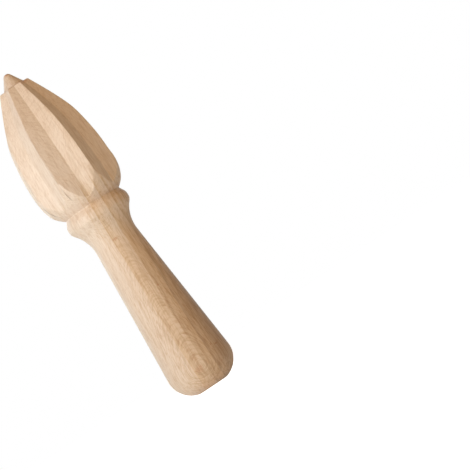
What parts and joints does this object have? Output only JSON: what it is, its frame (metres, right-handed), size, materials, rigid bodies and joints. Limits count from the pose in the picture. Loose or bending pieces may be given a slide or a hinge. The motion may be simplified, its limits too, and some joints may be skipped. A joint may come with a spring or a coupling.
{
  "type": "wooden citrus reamer",
  "caption": "Hand citrus reamer turned from one piece of pale wood: a pointed head with ridged V flutes, a beaded collar and a tapered handle with a rounded butt.",
  "frame": {"origin": "centre of the flat butt face that the reamer stands on", "axes": "+Z along the turning axis from the butt to the point, with the middle of one flute facing -Y"},
  "size_m": [0.039, 0.039, 0.165],
  "materials": {
    "beech": "bare, fine sanded"
  },
  "bodies": {
    "root": {"reamer": "beech"}
  },
  "joints": []
}
